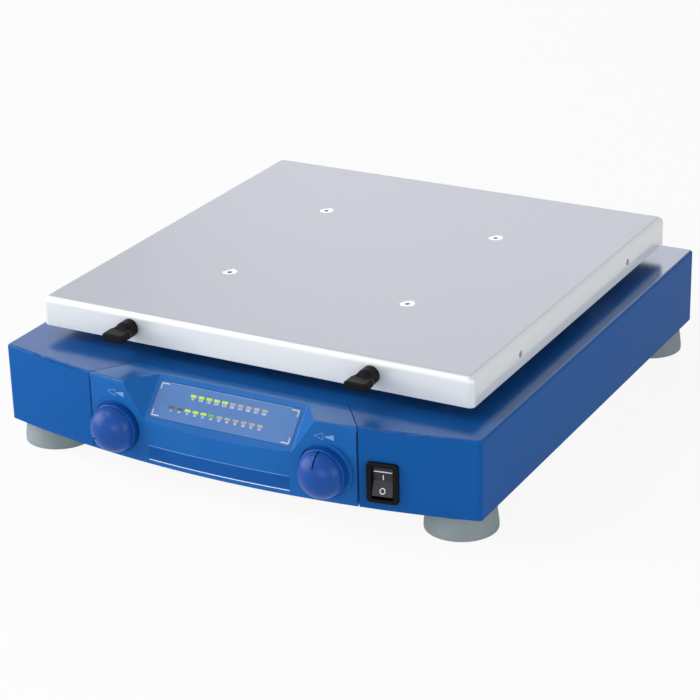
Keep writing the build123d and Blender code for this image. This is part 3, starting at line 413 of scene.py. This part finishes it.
def make_tile_row():
    """Geometry nodes: thin tiles with rounded corners, side by side along X."""
    tree = bpy.data.node_groups.new("tile_row", "GeometryNodeTree")
    tree.interface.new_socket("Geometry", in_out="OUTPUT", socket_type="NodeSocketGeometry")
    tree.interface.new_socket("Count", in_out="INPUT", socket_type="NodeSocketInt").default_value = 5
    for label in ("Pitch", "Width", "Height", "Thickness", "Corner"):
        tree.interface.new_socket(label, in_out="INPUT", socket_type=NUMBER).default_value = MM
    tree.interface.new_socket("Material", in_out="INPUT", socket_type="NodeSocketMaterial")
    given = tree.nodes.new("NodeGroupInput").outputs
    outline = add(tree, "GeometryNodeCurvePrimitiveQuadrilateral",
                  {"Width": given["Width"], "Height": given["Height"]})
    rounded = add(tree, "GeometryNodeFilletCurve", mode="POLY")
    tree.links.new(outline.outputs[0], rounded.inputs["Curve"])
    tree.links.new(given["Corner"], rounded.inputs["Radius"])
    rounded.inputs["Count"].default_value = CORNER_STEPS
    face = add(tree, "GeometryNodeFillCurve", {"Curve": rounded.outputs[0]}, mode="NGONS")
    raised = add(tree, "GeometryNodeExtrudeMesh",
                 {"Mesh": face.outputs[0], "Offset Scale": given["Thickness"]}, mode="FACES")
    under = add(tree, "GeometryNodeFlipFaces", {"Mesh": face.outputs[0]})
    both = add(tree, "GeometryNodeJoinGeometry")
    tree.links.new(raised.outputs[0], both.inputs[0])
    tree.links.new(under.outputs[0], both.inputs[0])
    tile = add(tree, "GeometryNodeMergeByDistance",
               {"Geometry": both.outputs[0], "Distance": 0.00001})
    step = add(tree, "ShaderNodeCombineXYZ", {"X": given["Pitch"]})
    line = add(tree, "GeometryNodeMeshLine",
               {"Count": given["Count"], "Offset": step.outputs[0]}, mode="OFFSET")
    tiles = add(tree, "GeometryNodeInstanceOnPoints",
                {"Points": line.outputs[0], "Instance": tile.outputs[0]})
    real = add(tree, "GeometryNodeRealizeInstances", {"Geometry": tiles.outputs[0]})
    dressed = add(tree, "GeometryNodeSetMaterial",
                  {"Geometry": real.outputs[0], "Material": given["Material"]})
    out = tree.nodes.new("NodeGroupOutput")
    tree.links.new(dressed.outputs[0], out.inputs[0])
    return tree


tile_row = make_tile_row()


def make_row(centre, up, pitch, count):
    """A row of windows: where its first one is, how high it is, its pitch and its count."""
    return {"first": centre - (count - 1) / 2 * pitch, "up": up, "pitch": pitch, "count": count}


speed_row = make_row(1.1, 6.7, 6.17, 10)
time_row = make_row(-5.4, -4.1, 6.28, 12)


def windows(name, row, start, count, material):
    """A run of a row's windows that look the same, from the window with number start, from 0."""
    maker = bpy.data.objects.new(name + "_maker", bpy.data.meshes.new(name + "_maker"))
    bpy.context.scene.collection.objects.link(maker)
    tiles = maker.modifiers.new("row", "NODES")
    tiles.node_group = tile_row
    inputs = {item.name: item.identifier for item in tile_row.interface.items_tree
              if item.item_type == "SOCKET" and item.in_out == "INPUT"}
    sizes = {"Count": count, "Pitch": row["pitch"] * MM, "Width": WINDOW_WIDTH * MM,
             "Height": WINDOW_HEIGHT * MM, "Thickness": WINDOW_THICKNESS * MM,
             "Corner": WINDOW_CORNER * MM, "Material": finishes[material]}
    for label, value in sizes.items():
        tiles[inputs[label]] = value
    depsgraph = bpy.context.evaluated_depsgraph_get()
    mesh = bpy.data.meshes.new_from_object(maker.evaluated_get(depsgraph))
    bpy.data.objects.remove(maker)
    across = row["first"] + start * row["pitch"]
    mesh.transform(label_face @ Matrix.Translation((across * MM, row["up"] * MM, LABEL_LIFT * MM)))
    keep(name, mesh, "base")


windows("speed_windows_lit", speed_row, 0, 5, "lit_green")
windows("speed_windows_unlit", speed_row, 5, 5, "unlit")
windows("time_windows_dark", time_row, 0, 2, "dark_window")
windows("time_windows_lit", time_row, 2, 3, "lit_green")
windows("time_window_green", time_row, 5, 1, "deep_green")
windows("time_windows_unlit", time_row, 6, 6, "unlit")


def row_numbers(row, step):
    """The number under each window of a row, as its digits and its centre."""
    return [(str(step * (i + 1)), (row["first"] + i * row["pitch"], row["up"] - NUMBER_DROP))
            for i in range(row["count"])]


def numerals(name, texts):
    """Small printed numbers on the label, as one piece."""
    corners, faces = [], []
    for digits, (across, up) in texts:
        curve = bpy.data.curves.new(name, "FONT")
        curve.body = digits
        curve.size = NUMBER_SIZE
        curve.align_x = "CENTER"
        curve.align_y = "CENTER"
        curve.extrude = NUMBER_HALF_THICKNESS
        curve.resolution_u = 2
        writer = bpy.data.objects.new(name, curve)
        bpy.context.scene.collection.objects.link(writer)
        depsgraph = bpy.context.evaluated_depsgraph_get()
        drawn = bpy.data.meshes.new_from_object(writer.evaluated_get(depsgraph))
        start = len(corners)
        corners += [(v.co.x + across, v.co.y + up, v.co.z + NUMBER_HALF_THICKNESS)
                    for v in drawn.vertices]
        faces += [tuple(start + k for k in p.vertices) for p in drawn.polygons]
        bpy.data.objects.remove(writer)
    mesh = bpy.data.meshes.new(name)
    lift = Vector((0, 0, LABEL_LIFT * MM))
    mesh.from_pydata([label_face @ (Vector(corner) * MM + lift) for corner in corners], [], faces)
    keep(name, mesh, "base", "white_print_and_highlight")


numerals("label_numerals", row_numbers(speed_row, 50) + row_numbers(time_row, 5))


def corner_mark(side, end):
    """One bent line in a corner of the label, with an arm along each edge."""
    across, up = side * (LABEL_HALF_WIDTH - CORNER_INSET), end * (LABEL_HALF_HEIGHT - CORNER_INSET)
    along_top = straight((across, up), (across - side * CORNER_ACROSS, up), 2)
    along_side = straight((across, up + end * CORNER_LAP), (across, up - end * CORNER_UP), 2)
    return [strip(along_top, CORNER_LINE), strip(along_side, CORNER_LINE)]


corner_marks = [mark for side in (-1, 1) for end in (-1, 1) for mark in corner_mark(side, end)]
marks("label_corner_marks", corner_marks, *on_label, "white_print_and_highlight")
edge_half, edge_up = LABEL_HALF_WIDTH - EDGE_FROM_SIDE, LABEL_HALF_HEIGHT - EDGE_INSET
edge_line = straight((-edge_half, edge_up), (edge_half, edge_up))
marks("label_edge_line", [strip(edge_line, EDGE_LINE)], *on_label, "pale_print_and_highlight")


# Control panel: the strip under the label with its painted highlights, the wedges over the knobs,
# and painted shade along the seams at its sides

STRIP_HALF_WIDTH = 55
# Each layer laid on the strip: its piece, height, width, thickness and ink. The band is a darker
# blue, and the two thin light lines over and under it are painted highlights.
STRIP_LAYERS = (
    ("panel_band", 26.6, 8.6, 0.05, "band_ink"),
    ("panel_upper_highlight", 31.9, 0.35, 0.06, "pale_print_and_highlight"),
    ("panel_lower_highlight", 21.4, 0.55, 0.06, "white_print_and_highlight"),
)
WEDGE_UP, WEDGE_HALF_WIDTH, WEDGE_HALF_OPENING, WEDGE_SPLIT = 65, 7, 2.4, 0.6
WEDGE_GAP, WEDGE_OUTLINE, WEDGE_POINTS = 1.2, 0.3, 9
WEDGE_TIP, WEDGE_GROWTH = 0.5, 0.42
SEAM_ACROSS, SEAM_LOW, SEAM_HIGH, SEAM_WIDTH = 103.5, 19.5, 71, 0.6

front = plane((0, low("control_panel").y, 0), (1, 0, 0), (0, -1, 0))
on_panel = (front, "control_panel", "base", "blue_panel")
for name, up, width, thick, ink in STRIP_LAYERS:
    layer = straight((-STRIP_HALF_WIDTH, up), (STRIP_HALF_WIDTH, up), 60)
    marks(name, [strip(layer, width, thick=thick)], *on_panel, ink)


def wedge_marks(name, centre):
    """An open triangle beside a wedge that grows, printed over a knob."""
    left, split, right = centre - WEDGE_HALF_WIDTH, centre - WEDGE_SPLIT, centre + WEDGE_HALF_WIDTH
    corners = [(left, WEDGE_UP), (split, WEDGE_UP + WEDGE_HALF_OPENING),
               (split, WEDGE_UP - WEDGE_HALF_OPENING)]
    sides = [strip(straight(corners[i], corners[(i + 1) % 3], 6), WEDGE_OUTLINE) for i in range(3)]
    along = straight((split + WEDGE_GAP, WEDGE_UP), (right, WEDGE_UP), WEDGE_POINTS - 1)
    grown = strip(along, [WEDGE_TIP + WEDGE_GROWTH * i for i in range(WEDGE_POINTS)])
    marks(name, sides + [grown], *on_panel, "pale_print_and_highlight")


wedge_marks("speed_wedge", middle("speed_knob").x / MM)
wedge_marks("time_wedge", middle("time_knob").x / MM)
# Painted shade: dark strips on the panel's sides where the gap to the housing lies in shade
seams = [straight((side * SEAM_ACROSS, SEAM_LOW), (side * SEAM_ACROSS, SEAM_HIGH), 12)
         for side in (-1, 1)]
marks("panel_seam_shade", [strip(seam, SEAM_WIDTH) for seam in seams], *on_panel, "seam_shade")


# Rocker: a bar over a ring, as its on and off marks, and a painted highlight at its top, a thin
# raised white strip

# The sine and the cosine of the front's turn at the switch
TURN_SINE, TURN_COSINE = 0.16015, 0.98709
ROCKER_OUT = 6
BAR_LOW, BAR_HIGH, BAR_WIDTH = 1.4, 5.0, 0.6
RING_RADIUS, RING_UP, RING_WIDTH, RING_POINTS = 1.7, -5.6, 0.5, 28
HIGHLIGHT_HALF_WIDTH, HIGHLIGHT_UP, HIGHLIGHT_WIDTH, HIGHLIGHT_THICKNESS = 6.4, 7.4, 0.7, 0.3

rocker_out = Vector((TURN_SINE, -TURN_COSINE, 0))
rocker_across = Vector((TURN_COSINE, TURN_SINE, 0))
rocker_face = plane(middle("power_rocker") + rocker_out * ROCKER_OUT * MM, rocker_across,
                    rocker_out)
on_rocker = (rocker_face, "power_rocker", "rocker", "rocker_black")
bar = straight((0, BAR_LOW), (0, BAR_HIGH), 4)
turns = [2 * pi * i / RING_POINTS for i in range(RING_POINTS)]
ring = [(RING_RADIUS * cos(turn), RING_RADIUS * sin(turn) + RING_UP) for turn in turns]
highlight_line = straight((-HIGHLIGHT_HALF_WIDTH, HIGHLIGHT_UP), (HIGHLIGHT_HALF_WIDTH, HIGHLIGHT_UP), 10)
marks("rocker_on_off", [strip(bar, BAR_WIDTH), strip(ring, RING_WIDTH, ring=True)],
      *on_rocker, "white_print_and_highlight")
# Painted highlight: a thin raised white strip for the light caught along the rocker's top edge
marks("rocker_painted_highlight", [strip(highlight_line, HIGHLIGHT_WIDTH, thick=HIGHLIGHT_THICKNESS)], *on_rocker, "white_print_and_highlight")


# Floor, world and lamps

FLOOR_HALF_WIDTH = 12.0
# The share of plain white in what the camera and reflections see of the floor
FLOOR_WHITE_SHARE = 0.9
# Each lamp: its name, where it is, what it points at, its width and height, and its watts
LAMPS = (
    ("key", (-2.3, -1.15, 0.95), (0, 0, 0.05), (2.2, 1.7), 58),
    ("front", (0.6, -2.5, 0.45), (0, 0, 0.05), (1.4, 0.6), 12),
    ("side", (2.3, -0.8, 0.55), (0, 0, 0.05), (1.5, 1.0), 16),
    ("overhead", (-0.95, -0.85, 1.75), (0, 0, 0.08), (0.9, 0.14), 8),
    ("behind", (-1.0, 2.5, 1.2), (0, 0, 0.08), (1.5, 0.8), 8),
)


def rays(tree):
    """1 for what the camera, a reflection or clear glass sees, 0 for the light on the object."""
    path = add(tree, "ShaderNodeLightPath").outputs
    first = add(tree, "ShaderNodeMath", {0: path["Is Camera Ray"], 1: path["Is Glossy Ray"]},
                operation="MAXIMUM")
    seen = add(tree, "ShaderNodeMath", {0: first.outputs[0], 1: path["Is Transmission Ray"]},
               operation="MAXIMUM")
    return seen.outputs[0]


def make_world():
    """A soft light on the object, and plain white where the world itself is seen."""
    world = bpy.data.worlds.new("studio")
    world.use_nodes = True
    bpy.context.scene.world = world
    tree = world.node_tree
    tree.nodes.clear()
    light = add(tree, "ShaderNodeBackground", {"Color": (0.94, 0.97, 1.0, 1), "Strength": 0.33})
    white = add(tree, "ShaderNodeBackground", {"Color": (1, 1, 1, 1), "Strength": 1.0})
    mixed = add(tree, "ShaderNodeMixShader",
                {0: rays(tree), 1: light.outputs[0], 2: white.outputs[0]})
    out = tree.nodes.new("ShaderNodeOutputWorld")
    tree.links.new(mixed.outputs[0], out.inputs["Surface"])


def make_floor():
    """A plain white floor that keeps the object's shadow."""
    mesh = bpy.data.meshes.new("floor")
    half = FLOOR_HALF_WIDTH
    mesh.from_pydata([(-half, -half, 0), (half, -half, 0), (half, half, 0), (-half, half, 0)],
                     [], [(0, 1, 2, 3)])
    floor = bpy.data.objects.new("floor", mesh)
    bpy.context.scene.collection.objects.link(floor)
    material = bpy.data.materials.new("white_floor")
    material.use_nodes = True
    tree = material.node_tree
    shader = tree.nodes["Principled BSDF"]
    shader.inputs["Base Color"].default_value = (0.9, 0.9, 0.9, 1)
    shader.inputs["Roughness"].default_value = 0.9
    shader.inputs["Specular IOR Level"].default_value = 0.1
    white = add(tree, "ShaderNodeEmission", {"Color": (1, 1, 1, 1), "Strength": 1.0})
    share = add(tree, "ShaderNodeMath", {0: rays(tree), 1: FLOOR_WHITE_SHARE},
                operation="MULTIPLY")
    mixed = add(tree, "ShaderNodeMixShader",
                {0: share.outputs[0], 1: shader.outputs[0], 2: white.outputs[0]})
    tree.links.new(mixed.outputs[0], tree.nodes["Material Output"].inputs["Surface"])
    mesh.materials.append(material)


def lamp(name, place, target, size, watts):
    """A soft box that the camera doesn't see."""
    light = bpy.data.lights.new(name, "AREA")
    light.shape = "RECTANGLE"
    light.size, light.size_y = size
    light.energy = watts
    holder = bpy.data.objects.new(name, light)
    bpy.context.scene.collection.objects.link(holder)
    holder.visible_camera = False
    holder.location = place
    holder.rotation_euler = (Vector(target) - Vector(place)).to_track_quat("-Z", "Y").to_euler()


make_world()
make_floor()
for row in LAMPS:
    lamp(*row)
bpy.context.scene.view_settings.view_transform = "Standard"
